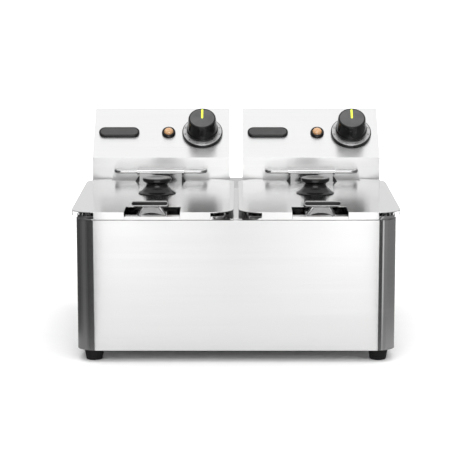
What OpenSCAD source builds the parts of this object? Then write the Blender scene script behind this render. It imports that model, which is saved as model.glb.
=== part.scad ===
// Twin countertop deep fryer: one housing with two lift-out tanks. Each tank carries its own
// control head with the heating element, a wire basket and a lid that hangs on the head's bar.
// Depths (names ending in _y) start at the housing's front face and grow towards the back.
// Heights (names ending in _z) start at the bottom of the feet.

/* [Housing] */
// Width of the housing
body_w = 422; // [410:1:440]
// Depth of the housing
body_d = 385; // [380:1:400]
// Height of the deck that the tanks and heads stand on
deck_z = 190.5; // [180:0.5:200]
// Radius of the housing's upright corners
corner_r = 24; // [20:1:28]
// Thickness of the housing's sheet steel
sheet = 1.2; // [1:0.1:1.5]
// Height of the rubber feet
foot_h = 16; // [14:1:22]

/* [Tank] */
// Depth of the tank from its rim to its floor
tank_depth = 140; // [130:1:145]
// Radius of the tank's upright corners
well_r = 30; // [25:1:35]

/* [Head] */
// Height of the control head above the deck
head_h = 105; // [100:0.5:110]
// Height of the head's upright front face above the deck
face_h = 42; // [40:1:44]
// How far the control panel runs back from its lower edge to its upper edge
panel_run = 76.5; // [72:0.5:77]
// Diameter of the control knob at its base
knob_d = 46.5; // [42:0.5:50]
// Height of the control knob
knob_h = 27.5; // [26:0.5:30]

/* [Basket] */
// Width of the basket
basket_w = 160; // [150:1:162]
// Height of the basket
basket_h = 84; // [70:1:84]
// How far the basket's grip reaches in front of the housing
grip_reach = 56; // [50:1:65]

/* [Lid] */
// Height of the lid's top face above the deck
lid_rise = 10.9; // [10.8:0.1:11]
// Depth of the notch in the lid for the basket's handle
notch_d = 46; // [40:1:50]
// Width of the notch in the lid
notch_w = 73; // [70:1:76]

/* [Hidden] */
$fn = 96;
left = -1;
right = 1;
eps = 0.01;
over = 1;                            // how far a cutting tool runs past a face
gap = 0.2;                           // clearance under parts that rest on the deck
seat = 0.02;                         // clearance between the panel and what is seated on it

// Overall layout
rear_reach = body_d + 13;            // back of the cable glands
front_y = -(rear_reach - grip_reach) / 2;
unit_x = body_w / 4 + 4.5;            // centre of each tank from the middle of the housing
deck_edge_y = body_d - 109;          // front edge of the rear deck
flange_w = 8;                        // width of the housing's top flange

// Tank
rim_w = body_w / 2 - 11;
rim_y0 = 1.5;
rim_y1 = deck_edge_y - 1;
rim_mid_y = (rim_y0 + rim_y1) / 2;
rim_z = deck_z + 5;
rim_r = 26;
tank_t = 1;
well_w = rim_w - 22;
well_l = rim_y1 - rim_y0 - 27.5;
floor_z = rim_z - tank_depth;

// Control head
head_w = body_w / 2 - 10;
head_y = body_d - 86;
head_back_y = body_d - 1;
head_z0 = deck_z + gap;
head_top_z = deck_z + head_h;
crease_z = deck_z + face_h;
panel_rise = head_top_z - crease_z;
panel_len = norm([panel_run, panel_rise]);
panel_mid = panel_len * 0.485;
lean = atan2(panel_run, panel_rise); // lean of the panel from upright
back_lip = 11;                       // flange that the head's back plate is screwed to
screw_r = 1.6;

// Bar, bridge and element
bar_r = 3;
bar_y = head_y - 16;
bar_z = deck_z + 23.7;
bar_leg_x = 65;
bar_bend = 8;
bridge_w = 112;
bridge_y0 = rim_y1 - 29;
bridge_y1 = head_y + 31;
bridge_z0 = deck_z - 7;
bridge_z1 = deck_z + 3;
tube_r = 3.25;
tube_z = (bridge_z0 + bridge_z1) / 2;
element_z = floor_z + 21.5;
outer_run_x = 48;
inner_run_x = 16;
riser_y = bridge_y0 + 6;
loop_front_y = 60;
loop_back_y = riser_y - 32;
guard_y0 = 36;
guard_l = riser_y - 10 - guard_y0;

// Panel fittings
dial_x = 60;
lamp_x = 10;
badge_x = -63.2;
dial_r = 30;
dial_base_h = 4.6;
dial_ring_h = 1.2;
shaft_r = 3;
shaft_fit = 0.05;
bushing_r = 5;
knob_z0 = dial_base_h + dial_ring_h + 0.4;
knob_top_r = knob_d / 2 - 3.7;
knob_collar_h = 2.8;                 // narrower foot under the knob's skirt
lamp_r = 10.3;
lamp_h = 4.6;
lens_r = 7;
badge_w = 60;
badge_h = 18.5;

// Rear fittings
reset_x = -40;
reset_z = deck_z + 30;
reset_r = 2.9;
reset_fit = 0.1;
gland_x = 55;
gland_z = deck_z + 22;
cable_r = 4;

// Basket
basket_y0 = 21;
basket_y1 = riser_y - 16;
basket_mid_y = (basket_y0 + basket_y1) / 2;
basket_l = basket_y1 - basket_y0;
basket_r = 24;
basket_top_z = rim_z - 17.5;
mesh_t = 1.2;
foot_inset = 4.5;
loop_r = 2.5;
rib_r = 1.5;
leg_r = 2;
leg_z = rim_z + 0.4 + leg_r;
leg_x = 17.6;
leg_bend = 5;
neck_x = 9;
knee_y = -1;
shoulder = [-17, leg_z + 16];        // depth and height where the handle bends into the grip
grip_slope = 12;
grip_w = 46.5;
grip_t = 6.5;
tang_w = 18;
tang_t = 1.6;

// Lid
lid_w = body_w / 2 + 3;
lid_d = body_d - 91;
lid_z = deck_z + lid_rise;
lid_t = 1;
lid_r = 28;
lid_flange_z = lid_z - 9.5;
corner_gap = 30.5;                   // the flanges stop this far from the lid's corners
hook_r = 5.05;
hook_fit = 0.06;
hook_w = 68;
web_w = 62;
rear_notch_w = 142;
rear_notch_y = bar_y - 4;
lid_knob_y = 162;
lid_knob_h = 22;
buffer_w = 5.5;                      // triangular stops beside the hook's web
buffer_h = 6.5;

// ---------------------------------------------------------------- shapes used again and again

// Everything drawn in here is placed on the housing's centre line
module middle() translate([0, front_y, 0]) children();

// Everything drawn in here is placed on one tank's centre line
module unit(side) translate([side * unit_x, front_y, 0]) children();

// A place on the sloping panel: x across it, v up it, with +Z standing out of it
module on_panel(x, v = panel_mid)
    translate([x, head_y, crease_z]) rotate([90 - lean, 0, 0]) translate([0, v, 0]) children();

module round_rect(w, d, r) {
    square([w - 2 * r, d], center = true);
    square([w, d - 2 * r], center = true);
    for (x = [-1, 1], y = [-1, 1])
        translate([x * (w / 2 - r), y * (d / 2 - r)]) circle(r);
}

// A rounded-rectangle prism from height z0 to z1, centred at depth y
module round_slab(w, d, r, y, z0, z1)
    translate([0, y, z0]) linear_extrude(z1 - z0) round_rect(w, d, r);

// A box given by its half width and its ranges of depth and height
module slab(half_w, y0, y1, z0, z1)
    translate([-half_w, y0, z0]) cube([2 * half_w, y1 - y0, z1 - z0]);

// An outline in depth and height, extruded across the width
module across(w) rotate([90, 0, 90]) linear_extrude(w, center = true) children();

// An outline in width and height, extruded from depth y0 to y1
module backwards(y0, y1) translate([0, y1, 0]) rotate([90, 0, 0]) linear_extrude(y1 - y0) children();

module stadium(w, h) {
    square([w - h, h], center = true);
    for (x = [-1, 1]) translate([x * (w - h) / 2, 0]) circle(h / 2);
}

module rod_x(x0, x1, y, z, r) translate([x0, y, z]) rotate([0, 90, 0]) cylinder(x1 - x0, r, r);
module rod_y(x, y0, y1, z, r) translate([x, y0, z]) rotate([-90, 0, 0]) cylinder(y1 - y0, r, r);
module rod_z(x, y, z0, z1, r) translate([x, y, z0]) cylinder(z1 - z0, r, r);

// A round rod between any two points
module rod(p, q, r) {
    d = q - p;
    translate(p) rotate([0, acos(d.z / norm(d)), atan2(d.y, d.x)]) cylinder(norm(d), r, r);
}

// A level bend of bend radius R that starts at an angle and turns through sweep degrees
module bend_level(c, R, r, start, sweep = 90)
    translate(c) rotate([0, 0, start]) rotate_extrude(angle = sweep) translate([R, 0]) circle(r);

// The same bend in the plane of depth and height
module bend_upright(c, R, r, start, sweep = 90)
    translate(c) rotate([90, 0, 90]) rotate([0, 0, start])
        rotate_extrude(angle = sweep) translate([R, 0]) circle(r);

// The same bend in the plane of width and height
module bend_facing(c, R, r, start, sweep = 90)
    translate(c) rotate([90, 0, 0]) rotate([0, 0, start])
        rotate_extrude(angle = sweep) translate([R, 0]) circle(r);

// A closed loop of round wire around a rounded rectangle
module wire_loop(w, d, R, r, y, z) {
    for (s = [-1, 1]) {
        rod_x(-w / 2 + R, w / 2 - R, y + s * d / 2, z, r);
        rod_y(s * w / 2, y - d / 2 + R, y + d / 2 - R, z, r);
    }
    bend_level([w / 2 - R, y + d / 2 - R, z], R, r, 0);
    bend_level([-w / 2 + R, y + d / 2 - R, z], R, r, 90);
    bend_level([-w / 2 + R, y - d / 2 + R, z], R, r, 180);
    bend_level([w / 2 - R, y - d / 2 + R, z], R, r, 270);
}

// ---------------------------------------------------------------- housing

panel_w = body_w - 78;
panel_z0 = foot_h + 7;
panel_z1 = deck_z - 6;
panel_screw_xs = [-1, -1 / 3, 1 / 3, 1] * (panel_w / 2 - 6);
panel_screw_zs = [panel_z0 + 6, panel_z1 - 6];
foot_x = body_w / 2 - 22;
foot_ys = [22, body_d - 22];
neck_slot_w = bridge_w + 4;

module inner_outline() round_rect(body_w - 2 * sheet, body_d - 2 * sheet, corner_r - sheet);

// Wrap-round casing with a top flange for the tank rims and a window at the back
module body_shell() color("gainsboro") middle() difference() {
    round_slab(body_w, body_d, corner_r, body_d / 2, foot_h, deck_z);
    translate([0, body_d / 2, foot_h - over])
        linear_extrude(deck_z - sheet - foot_h + over) inner_outline();
    round_slab(body_w - 2 * flange_w, body_d - 2 * flange_w, corner_r - flange_w,
               body_d / 2, deck_z - 2 * sheet, deck_z + over);
    intersection() {
        translate([0, body_d / 2, deck_z - 2 * sheet]) linear_extrude(2 * sheet + over) inner_outline();
        slab(body_w, deck_edge_y, body_d, deck_z - 3 * sheet, deck_z + 2 * over);
    }
    slab(panel_w / 2 - 12, body_d - 2 * sheet, body_d + over, panel_z0 + 12, panel_z1 - 12);
    for (x = panel_screw_xs, z = panel_screw_zs)
        rod_y(x, body_d - 2 * sheet, body_d + over, z, 2);
}

// Removable back cover with two fields of air slots
module back_panel() color("silver") middle() difference() {
    backwards(body_d, body_d + sheet) translate([0, (panel_z0 + panel_z1) / 2])
        round_rect(panel_w, panel_z1 - panel_z0, 6);
    for (s = [-1, 1], k = [0:7])
        translate([s * body_w / 5, 0, panel_z0 + 38 + 11 * k])
            backwards(body_d - over, body_d + sheet + over) stadium(64, 4);
    for (x = panel_screw_xs, z = panel_screw_zs)
        rod_y(x, body_d - over, body_d + sheet + over, z, 2);
}

// Floor of the housing, slotted for air
module base_plate() color("silver") middle() difference() {
    translate([0, body_d / 2, foot_h]) linear_extrude(sheet) inner_outline();
    for (s = [-1, 1], k = [0:8])
        translate([s * body_w / 4, body_d / 2 - 64 + 16 * k, foot_h - over])
            linear_extrude(sheet + 2 * over) stadium(110, 5);
    for (s = [-1, 1], y = foot_ys) rod_z(s * foot_x, y, foot_h - over, foot_h + sheet + over, 2.2);
}

// Deck behind the tanks, notched for the element bridges
module rear_deck() color("silver") middle() difference() {
    union() {
        intersection() {
            translate([0, body_d / 2, deck_z - sheet]) linear_extrude(sheet) inner_outline();
            slab(body_w, deck_edge_y, body_d, deck_z - 2 * sheet, deck_z + over);
        }
        slab(body_w / 2 - 2 * sheet, deck_edge_y, deck_edge_y + sheet, deck_z - 12, deck_z - sheet / 2);
    }
    for (s = [left, right]) translate([s * unit_x, 0, 0])
        slab(neck_slot_w / 2, deck_edge_y - over, bridge_y1 + 4, bridge_z0 - 10, deck_z + over);
}

// Channel between the two tanks that carries their inner rims
module centre_rail() color("gainsboro") middle() {
    slab(19, flange_w, deck_edge_y, deck_z - sheet, deck_z);
    for (x = [-1, 1])
        translate([x * (19 - sheet / 2), 0, 0])
            slab(sheet / 2, flange_w + 4, deck_edge_y - 4, deck_z - 20, deck_z - sheet);
    slab(8, flange_w, deck_edge_y, deck_z, deck_z + 0.9);
}

module foot() difference() {
    cylinder(foot_h, 10.75, 13.5);
    translate([0, 0, -over]) cylinder(7 + over, 5.5, 5.5);
    translate([0, 0, -over]) cylinder(foot_h + 2 * over, 2.2, 2.2);
}

module feet() color("#202020") middle()
    for (s = [-1, 1], y = foot_ys) translate([s * foot_x, y, 0]) foot();

// Pan-head screw pointing up, its head's underside at the origin
module screw(head_r, head_h, shank_r, shank_l) {
    translate([0, 0, -head_h]) cylinder(head_h, head_r * 0.8, head_r);
    translate([0, 0, -eps]) cylinder(shank_l + eps, shank_r, shank_r);
}

module housing_screws() color("lightgrey") middle() {
    for (s = [-1, 1], y = foot_ys) translate([s * foot_x, y, 7]) screw(4.6, 2.8, 2, foot_h - 7 + 4);
    for (x = panel_screw_xs, z = panel_screw_zs)
        translate([x, body_d + sheet, z]) rotate([90, 0, 0]) screw(3.6, 2, 1.8, 8);
}

// ---------------------------------------------------------------- tank

// Deep-drawn oil tank with a turned-down rim, notched at the back for the element bridge
module tank(side) color("silver") unit(side) difference() {
    union() {
        round_slab(rim_w, rim_y1 - rim_y0, rim_r, rim_mid_y, head_z0, rim_z);
        round_slab(well_w + 2 * tank_t, well_l + 2 * tank_t, well_r + tank_t, rim_mid_y,
                   floor_z - tank_t, rim_z);
    }
    round_slab(well_w, well_l, well_r, rim_mid_y, floor_z, rim_z + over);
    difference() {
        round_slab(rim_w - 2 * tank_t, rim_y1 - rim_y0 - 2 * tank_t, rim_r - tank_t, rim_mid_y,
                   head_z0 - over, rim_z - tank_t);
        round_slab(well_w + 2 * tank_t, well_l + 2 * tank_t, well_r + tank_t, rim_mid_y,
                   floor_z, rim_z);
    }
    slab(neck_slot_w / 2 - 1, bridge_y0, rim_y1 + over, bridge_z0 - 0.5, rim_z + over);
}

// ---------------------------------------------------------------- head: heating

module heating_element(side) color("dimgray") unit(side) {
    for (s = [-1, 1]) {
        rod_y(s * inner_run_x, loop_front_y, loop_back_y, element_z, tube_r);
        rod_y(s * outer_run_x, loop_front_y, riser_y - 8, element_z, tube_r);
        bend_level([s * (outer_run_x + inner_run_x) / 2, loop_front_y, element_z],
                   (outer_run_x - inner_run_x) / 2, tube_r, 180, 180);
        bend_upright([s * outer_run_x, riser_y - 8, element_z + 8], 8, tube_r, -90);
        rod_z(s * outer_run_x, riser_y, element_z + 8, tube_z - 6, tube_r);
        bend_upright([s * outer_run_x, riser_y + 6, tube_z - 6], 6, tube_r, 90);
        rod_y(s * outer_run_x, riser_y + 6, head_y + 14, tube_z, tube_r);
    }
    bend_level([0, loop_back_y, element_z], inner_run_x, tube_r, 0, 180);
}

// Flat box that takes the element's tubes over the tank's back edge into the head
module element_bridge(side) color("silver") unit(side) difference() {
    slab(bridge_w / 2, bridge_y0, bridge_y1, bridge_z0, bridge_z1);
    slab(bridge_w / 2 - sheet, bridge_y0 + sheet, bridge_y1 - sheet, bridge_z0 + sheet, bridge_z1 - sheet);
    slab(50, head_y + 5, bridge_y1 - 5, bridge_z1 - 2 * sheet, bridge_z1 + over);
    for (s = [-1, 1])
        rod_z(s * outer_run_x, riser_y + 0.3, bridge_z0 - over, bridge_z0 + 2 * sheet, 4.5);
    for (s = [-1, 1])
        rod_z(s * 12, riser_y + 0.3, bridge_z0 - over, bridge_z0 + 2 * sheet, 2.2);
}

// Slotted plate that lies on the element and keeps the basket off it
module element_guard(side) color("lightgrey") unit(side) difference() {
    round_slab(148, guard_l, 16, guard_y0 + guard_l / 2, element_z + tube_r, element_z + tube_r + 1.2);
    for (k = [0:10]) translate([0, guard_y0 + guard_l / 2 + 16 * (k - 5), element_z])
        linear_extrude(tube_r + 3) stadium(128, 8);
}

// Two sensor bulbs beside the element with their thin tubes to the head
module sensor_bulbs(side) color("peru") unit(side) for (s = [-1, 1]) {
    rod_z(s * 12, riser_y, element_z + 14, element_z + 84, 3);
    rod_z(s * 12, riser_y, element_z + 84, tube_z - 4, 1);
    bend_upright([s * 12, riser_y + 4, tube_z - 4], 4, 1, 90);
    rod_y(s * 12, riser_y + 4, head_y + 14, tube_z, 1);
}

// ---------------------------------------------------------------- head: casing

// Side view of the head, drawn in by a given wall thickness
module head_profile(t) {
    slope = panel_rise / panel_run;
    drop = t / sin(lean);            // how far the panel's line moves straight down
    polygon([
        [head_y + t, head_z0 + t],
        [head_y + t, crease_z + t * slope - drop],
        [head_y + panel_run + (drop - t) / slope, head_top_z - t],
        [head_back_y - t, head_top_z - t],
        [head_back_y - t, head_z0 + t],
    ]);
}

head_screw_x = head_w / 2 - 6;
head_screw_zs = [head_z0 + 7, head_top_z - 7];

module head_shell(side) color("gainsboro") unit(side) difference() {
    across(head_w) head_profile(0);
    across(head_w - 2 * sheet) head_profile(sheet);
    slab(head_w / 2 - back_lip, head_back_y - 2 * sheet, head_back_y + over,
         head_z0 + back_lip, head_top_z - back_lip);
    slab(bridge_w / 2 + 0.5, head_y - over, bridge_y1 + 2, head_z0 - over, bridge_z1 + 0.3);
    for (s = [-1, 1]) rod_y(s * bar_leg_x, head_y - over, head_y + 2 * sheet, bar_z, bar_r);
    on_panel(dial_x) cylinder(20, bushing_r, bushing_r, center = true);
    on_panel(lamp_x, panel_mid + 1) cylinder(20, 6, 6, center = true);
    for (x = [-1, 1], z = head_screw_zs)
        rod_y(x * head_screw_x, head_back_y - 2 * sheet, head_back_y + over, z, screw_r);
}

// Cover on the back of the head
module head_back(side) color("silver") unit(side) difference() {
    slab(head_w / 2, head_back_y, head_back_y + sheet, head_z0, head_top_z);
    for (k = [0:4]) translate([0, 0, head_z0 + 52 + 9 * k])
        backwards(head_back_y - over, head_back_y + sheet + over) stadium(120, 3.6);
    rod_y(reset_x, head_back_y - over, head_back_y + sheet + over, reset_z, bushing_r);
    rod_y(gland_x, head_back_y - over, head_back_y + sheet + over, gland_z, 8);
    for (x = [-1, 1], z = head_screw_zs)
        rod_y(x * head_screw_x, head_back_y - over, head_back_y + sheet + over, z, screw_r);
}

module head_screws(side) color("lightgrey") unit(side)
    for (x = [-1, 1], z = head_screw_zs)
        translate([x * head_screw_x, head_back_y + sheet, z]) rotate([90, 0, 0])
            screw(3.2, 1.9, screw_r, 6);

// Bent bar in front of the head: the lid hangs on it and the basket can drain from it
module hanging_bar(side) color("silver") unit(side) {
    rod_x(-bar_leg_x + bar_bend, bar_leg_x - bar_bend, bar_y, bar_z, bar_r);
    bend_level([bar_leg_x - bar_bend, bar_y + bar_bend, bar_z], bar_bend, bar_r, -90);
    bend_level([-bar_leg_x + bar_bend, bar_y + bar_bend, bar_z], bar_bend, bar_r, 180);
    for (s = [-1, 1]) rod_y(s * bar_leg_x, bar_y + bar_bend, head_y + 5, bar_z, bar_r);
}

// Control thermostat behind the dial, and the thermal cut-out behind the reset button
module thermostats(side) color("tan") unit(side) {
    on_panel(dial_x) difference() {
        union() {
            translate([-18, -17, -sheet - 26]) cube([36, 34, 26 - seat]);
            translate([0, 0, -sheet - 1])
                cylinder(sheet + 1 + dial_base_h, bushing_r - seat, bushing_r - seat);
        }
        translate([0, 0, -22]) cylinder(40, shaft_r + shaft_fit, shaft_r + shaft_fit);
    }
    difference() {
        union() {
            rod_y(reset_x, head_back_y - 26, head_back_y, reset_z, 9);
            rod_y(reset_x, head_back_y - 1, head_back_y + sheet + 4, reset_z, bushing_r);
        }
        rod_y(reset_x, head_back_y - 16, head_back_y + 10, reset_z, reset_r + reset_fit);
    }
}

module reset_button(side) color("firebrick") unit(side)
    rod_y(reset_x, head_back_y - 13.5, head_back_y + sheet + 7, reset_z, reset_r);

// Cable gland with a clear bore for the supply cable
module cable_gland(side) color("#303030") unit(side) difference() {
    union() {
        rod_y(gland_x, head_back_y - 8, head_back_y + sheet + 1, gland_z, 8);
        translate([gland_x, head_back_y + sheet, gland_z]) rotate([-90, 0, 0])
            cylinder(4.8, 12, 12, $fn = 6);
        translate([gland_x, head_back_y + sheet + 4.8 - eps, gland_z]) rotate([-90, 0, 0])
            cylinder(8 + eps, 10, 8);
    }
    rod_y(gland_x, head_back_y - 10, head_back_y + 20, gland_z, cable_r);
}

// ---------------------------------------------------------------- head: panel fittings

module dial_base(side) color("#181818") unit(side) on_panel(dial_x) difference() {
    translate([0, 0, seat]) cylinder(dial_base_h - seat, dial_r, dial_r);
    translate([0, 0, -over]) cylinder(dial_base_h + 2 * over, bushing_r, bushing_r);
}

module dial_ring(side) color("silver") unit(side) on_panel(dial_x) translate([0, 0, dial_base_h])
    difference() {
        cylinder(dial_ring_h, dial_r - 0.4, dial_r - 0.8);
        translate([0, 0, -over]) cylinder(dial_ring_h + 2 * over, 19, 19);
    }

// Tapered knob with a skirt; its bore grips the thermostat's shaft
module control_knob(side) color("#1c1c1c") unit(side) on_panel(dial_x) translate([0, 0, knob_z0])
    difference() {
        rotate_extrude() polygon([
            [0, 0], [knob_d / 2 - 3, 0], [knob_d / 2 - 3, knob_collar_h],
            [knob_d / 2, knob_collar_h], [knob_d / 2, knob_collar_h + 2.2],
            [knob_d / 2 - 1, knob_collar_h + 3.6],
            [knob_top_r + 0.7, knob_h - 1.5], [knob_top_r - 0.6, knob_h], [0, knob_h],
        ]);
        translate([0, 0, -over]) cylinder(21 + over, shaft_r, shaft_r);
    }

module knob_shaft(side) color("goldenrod") unit(side) on_panel(dial_x)
    translate([0, 0, -20]) cylinder(20 + knob_z0 + 21, shaft_r, shaft_r);

module lamp_bezel(side) color("#181818") unit(side) on_panel(lamp_x, panel_mid + 1) difference() {
    union() {
        translate([0, 0, -22]) cylinder(22, 6, 6);
        translate([0, 0, seat]) cylinder(lamp_h - seat, lamp_r, lamp_r - 1);
    }
    translate([0, 0, lamp_h - 1.4]) cylinder(2, lens_r, lens_r);
}

module lamp_lens(side) color("orange") unit(side) on_panel(lamp_x, panel_mid + 1) intersection() {
    translate([0, 0, lamp_h - 1.4]) cylinder(8, lens_r, lens_r);
    translate([0, 0, lamp_h - 4.9]) sphere(8.6);
}

module badge(side) color("#282828") unit(side) on_panel(badge_x, panel_mid + 1.3)
    translate([0, 0, seat]) linear_extrude(4.2 - seat) stadium(badge_w, badge_h);

// ---------------------------------------------------------------- basket

// The basket's form, drawn in by a wall thickness, with a narrower foot
module basket_form(t, top) {
    bottom = basket_top_z - basket_h + t;
    for (inset = [t, t + foot_inset])
        round_slab(basket_w - 2 * inset, basket_l - 2 * inset, basket_r - inset, basket_mid_y,
                   bottom + (inset == t ? foot_inset + 1 : 0), top);
}

// Mesh part of the basket, closed here to its outer shape and open at the top
module basket_mesh(side) color("lightgrey") unit(side) difference() {
    basket_form(0, basket_top_z);
    basket_form(mesh_t, basket_top_z + over);
}

// Rim loop and three ribs that carry the mesh
module basket_frame(side) color("silver") unit(side) {
    rib_x = basket_w / 2 + rib_r;
    rib_z = basket_top_z - basket_h - rib_r;
    wire_loop(basket_w, basket_l, basket_r, loop_r, basket_mid_y, basket_top_z + loop_r);
    for (k = [-1:1]) let (y = basket_mid_y + k * basket_l * 0.3) {
        rod_x(-rib_x + 6, rib_x - 6, y, rib_z, rib_r);
        bend_facing([rib_x - 6, y, rib_z + 6], 6, rib_r, -90);
        bend_facing([-rib_x + 6, y, rib_z + 6], 6, rib_r, 180);
        for (s = [-1, 1]) rod_z(s * rib_x, y, rib_z + 6, basket_top_z + loop_r, rib_r);
    }
}

grip_start = [shoulder.x + 3, shoulder.y - 0.6];
grip_len = (grip_reach + grip_start.x) / cos(grip_slope);

// Places children at a depth and height, with +Y running forwards and up at a slope
module forwards(p, slope) translate([0, p.x, p.y]) rotate([-slope, 0, 0]) mirror([0, 1, 0]) children();

// Two bent legs over the tank's rim, joined by an arched plate and a tang inside the grip
module basket_bracket(side) color("silver") unit(side) {
    plate_len = norm([shoulder.x - knee_y, shoulder.y - leg_z]);
    plate_slope = atan2(shoulder.y - leg_z, knee_y - shoulder.x);
    for (s = [-1, 1]) {
        knee = [s * leg_x, knee_y, leg_z];
        top = [s * neck_x, shoulder.x, shoulder.y];
        rod_z(s * leg_x, basket_y0, basket_top_z + 2 * loop_r, leg_z - leg_bend, leg_r);
        bend_upright([s * leg_x, basket_y0 - leg_bend, leg_z - leg_bend], leg_bend, leg_r, 0);
        rod_y(s * leg_x, knee_y - 0.8, basket_y0 - leg_bend, leg_z, leg_r);
        rod(knee, top, leg_r - 0.1);
    }
    forwards([knee_y, leg_z], plate_slope) translate([0, 0, -tang_t / 2]) linear_extrude(tang_t)
        difference() {
            polygon([[-leg_x, 0], [leg_x, 0], [neck_x, plate_len], [-neck_x, plate_len]]);
            translate([0, -15.8]) circle(21.8);
        }
    forwards(shoulder, grip_slope) translate([-tang_w / 2, -1, -tang_t / 2]) cube([tang_w, 30, tang_t]);
}

module basket_grip(side) color("#1a1a1a") unit(side) difference() {
    forwards(grip_start, grip_slope) translate([0, grip_len, 0]) rotate([90, 0, 0])
        linear_extrude(grip_len) stadium(grip_w, grip_t);
    forwards(shoulder, grip_slope) {
        translate([-tang_w / 2, -6, -tang_t / 2]) cube([tang_w, 35, tang_t]);
        translate([-neck_x - 3.5, -6, -5]) cube([2 * neck_x + 7, 10, 7.4]);
    }
}

// ---------------------------------------------------------------- lid

// Flat lid with turned-down edges, a notch for the basket's handle and a notch for the bar
module lid(side) color("gainsboro") unit(side) {
    stud_x = rim_w / 2 - 5.5;
    difference() {
        union() {
            round_slab(lid_w, lid_d, lid_r, lid_d / 2, lid_z - lid_t, lid_z);
            slab(lid_w / 2 - corner_gap, 0, lid_t, lid_flange_z, lid_z);
            for (s = [-1, 1]) translate([s * (lid_w - lid_t) / 2, 0, 0])
                slab(lid_t / 2, corner_gap, lid_d - corner_gap, lid_flange_z, lid_z);
        }
        slab(notch_w / 2, -over, notch_d, lid_flange_z - over, lid_z + over);
        slab(rear_notch_w / 2, rear_notch_y, lid_d + over, lid_z - 2 * lid_t, lid_z + over);
    }
    for (s = [-1, 1], y = [44, rim_y1 - 44])
        rod_z(s * stud_x, y, rim_z + 0.3, lid_z - lid_t + eps, 4);
}

// Hook that drops over the bar from above, on an upright web and a foot on the lid
module lid_bracket(side) color("silver") unit(side) {
    inner = bar_r + hook_fit;
    web_y = bar_y - inner;
    difference() {
        rod_x(-hook_w / 2, hook_w / 2, bar_y, bar_z, hook_r);
        rod_x(-hook_w / 2 - over, hook_w / 2 + over, bar_y, bar_z, inner);
        slab(hook_w / 2 + over, web_y, bar_y + inner, bar_z - 8, bar_z);
        slab(hook_w / 2 + over, bar_y + inner - eps, bar_y + 8, bar_z - 8, bar_z - 1.5);
    }
    slab(web_w / 2, web_y - 1.2, web_y, lid_z, bar_z);
    slab(web_w / 2, web_y - 20, web_y, lid_z, lid_z + 1.2);
    for (s = [-1, 1]) scale([s, 1, 1]) backwards(web_y - 8, web_y)
        polygon([[web_w / 2 - eps, lid_z], [web_w / 2 + buffer_w, lid_z], [web_w / 2 + 1, lid_z + buffer_h],
                 [web_w / 2 - eps, lid_z + buffer_h]]);
}

// Turned spool-shaped knob that stays cool enough to hold
module lid_knob(side) color("#1a1a1a") unit(side) translate([0, lid_knob_y, lid_z])
    rotate_extrude()
        polygon([
            [0, 0], [25.8, 0], [26.2, 0.4], [26.2, 1.1], [24.6, 2], [22, 3.6], [19.2, 6], [16.8, 8.8],
            [15.2, 11.6], [14.8, 13.6], [16, 15.8], [19.2, 17.4], [20.2, 18.3], [20.4, 19],
            [20.4, lid_knob_h - 1.2], [19, lid_knob_h], [13.5, lid_knob_h], [0, lid_knob_h - 1.2],
        ]);

// ---------------------------------------------------------------- one line for each node

body_shell();
back_panel();
base_plate();
rear_deck();
centre_rail();
feet();
housing_screws();
tank(left);  // tank_left
heating_element(left);  // heating_element_left
element_bridge(left);  // element_bridge_left
element_guard(left);  // element_guard_left
sensor_bulbs(left);  // sensor_bulbs_left
head_shell(left);  // head_shell_left
head_back(left);  // head_back_left
head_screws(left);  // head_screws_left
hanging_bar(left);  // hanging_bar_left
thermostats(left);  // thermostats_left
reset_button(left);  // reset_button_left
dial_base(left);  // dial_base_left
dial_ring(left);  // dial_ring_left
control_knob(left);  // control_knob_left
knob_shaft(left);  // knob_shaft_left
lamp_bezel(left);  // lamp_bezel_left
lamp_lens(left);  // lamp_lens_left
badge(left);  // badge_left
cable_gland(left);  // cable_gland_left
basket_mesh(left);  // basket_mesh_left
basket_frame(left);  // basket_frame_left
basket_bracket(left);  // basket_bracket_left
basket_grip(left);  // basket_grip_left
lid(left);  // lid_left
lid_bracket(left);  // lid_bracket_left
lid_knob(left);  // lid_knob_left
tank(right);  // tank_right
heating_element(right);  // heating_element_right
element_bridge(right);  // element_bridge_right
element_guard(right);  // element_guard_right
sensor_bulbs(right);  // sensor_bulbs_right
head_shell(right);  // head_shell_right
head_back(right);  // head_back_right
head_screws(right);  // head_screws_right
hanging_bar(right);  // hanging_bar_right
thermostats(right);  // thermostats_right
reset_button(right);  // reset_button_right
dial_base(right);  // dial_base_right
dial_ring(right);  // dial_ring_right
control_knob(right);  // control_knob_right
knob_shaft(right);  // knob_shaft_right
lamp_bezel(right);  // lamp_bezel_right
lamp_lens(right);  // lamp_lens_right
badge(right);  // badge_right
cable_gland(right);  // cable_gland_right
basket_mesh(right);  // basket_mesh_right
basket_frame(right);  // basket_frame_right
basket_bracket(right);  // basket_bracket_right
basket_grip(right);  // basket_grip_right
lid(right);  // lid_right
lid_bracket(right);  // lid_bracket_right
lid_knob(right);  // lid_knob_right
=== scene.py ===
"""Twin countertop deep fryer: materials, detailed pieces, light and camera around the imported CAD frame.

Everything is in metres in the CAD's frame: +X right, +Y to the back, +Z up, the feet on z = 0.
"""

import math

import bmesh
import bpy
from mathutils import Matrix, Vector


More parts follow.
